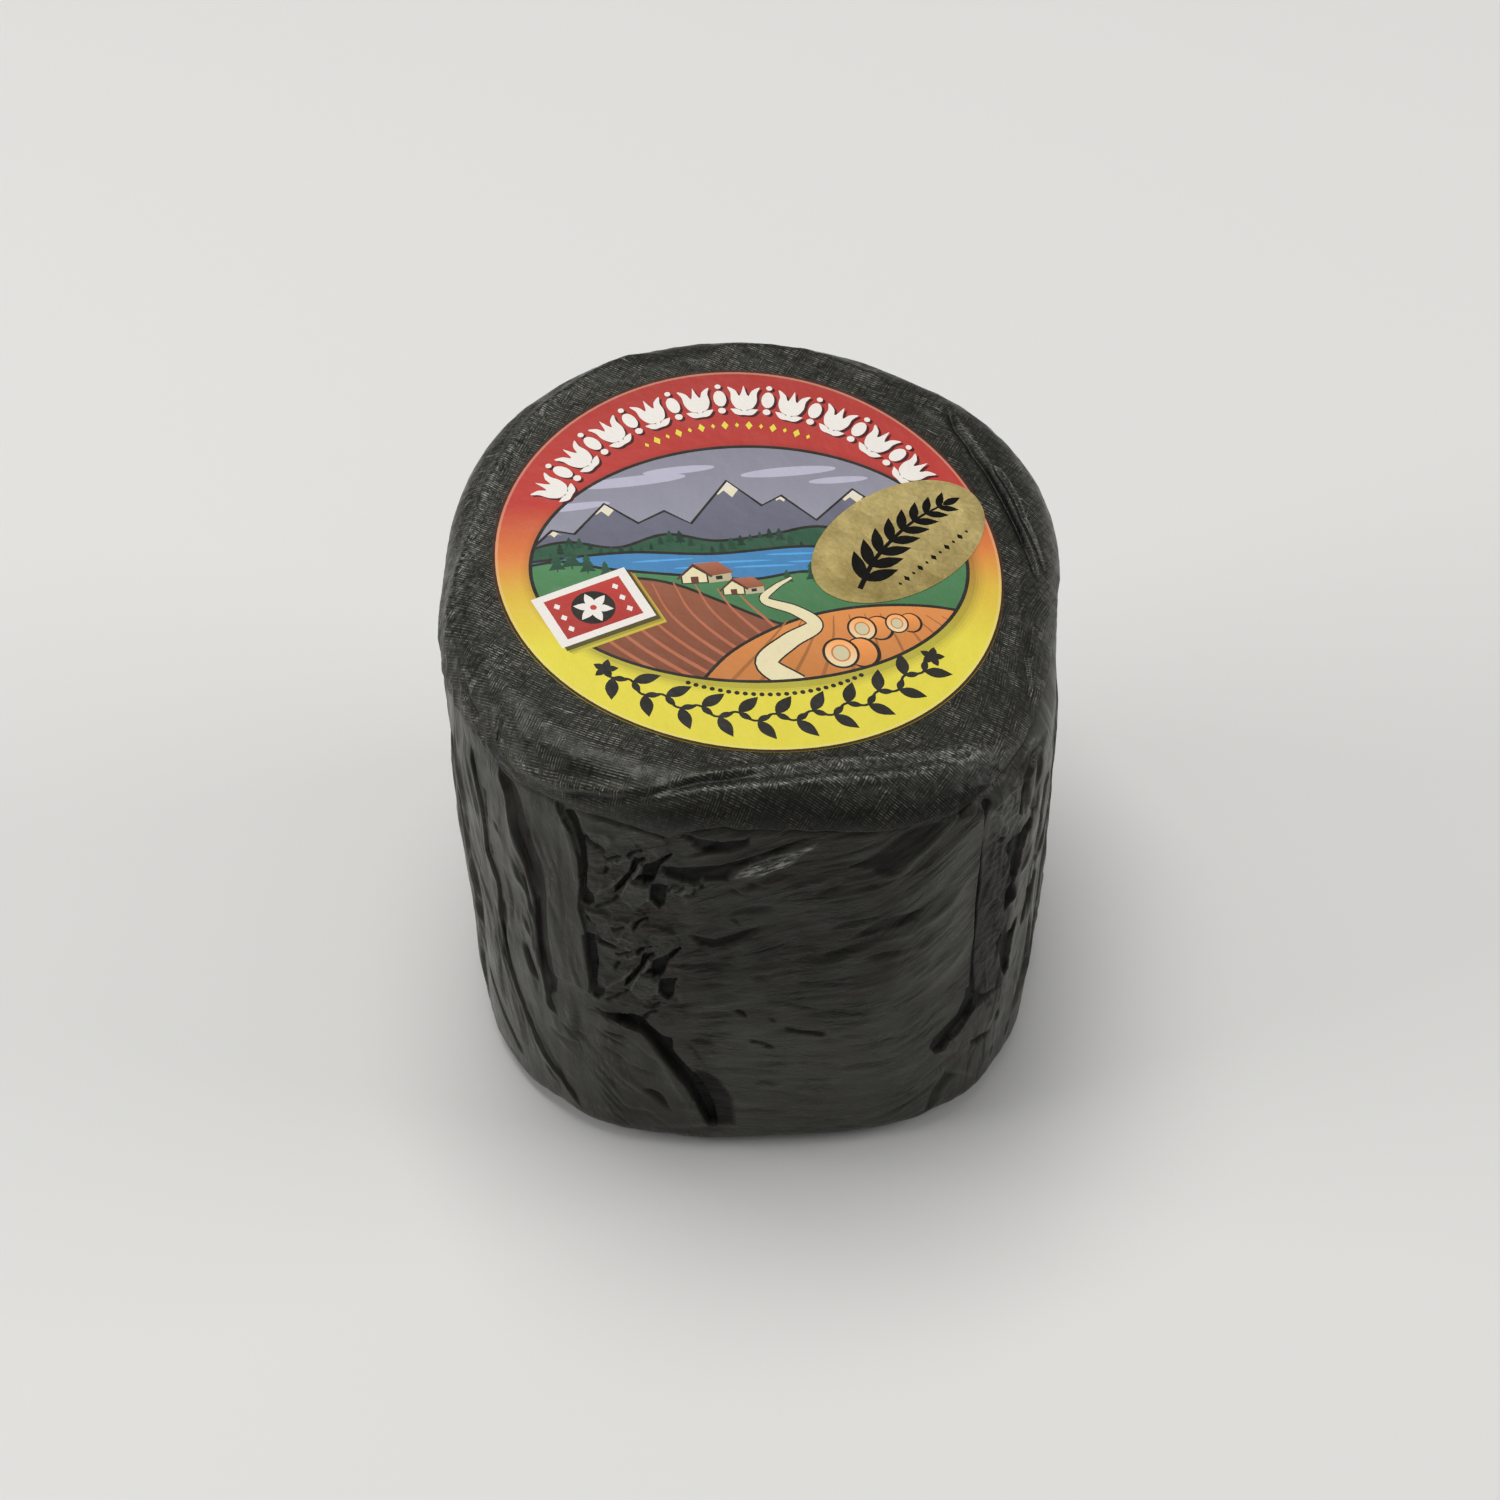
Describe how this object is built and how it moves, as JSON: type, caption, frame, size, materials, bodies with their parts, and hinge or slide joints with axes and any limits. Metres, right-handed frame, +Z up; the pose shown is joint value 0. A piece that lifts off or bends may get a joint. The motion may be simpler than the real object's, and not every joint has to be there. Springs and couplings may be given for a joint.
{
  "type": "foil-wrapped cheese wheel",
  "caption": "Tall round wheel of hard cheese shut in dark embossed foil, with a slanting top, a round paper label and an oval gold foil sticker.",
  "frame": {"origin": "middle of the flat base that the wheel stands on", "axes": "+Z up along the wheel's axis, -Y towards the lower edge of the label, +X towards the label's right"},
  "size_m": [0.1026, 0.1038, 0.0969],
  "materials": {
    "dark_foil": "dark laminated foil, embossed on the top and satin on the side",
    "printed_paper": "glossy printed label paper",
    "gold_foil": "satin gold foil sticker"
  },
  "bodies": {
    "root": {"wrapped_wheel": "dark_foil", "round_label": "printed_paper", "oval_sticker": "gold_foil"}
  },
  "joints": []
}
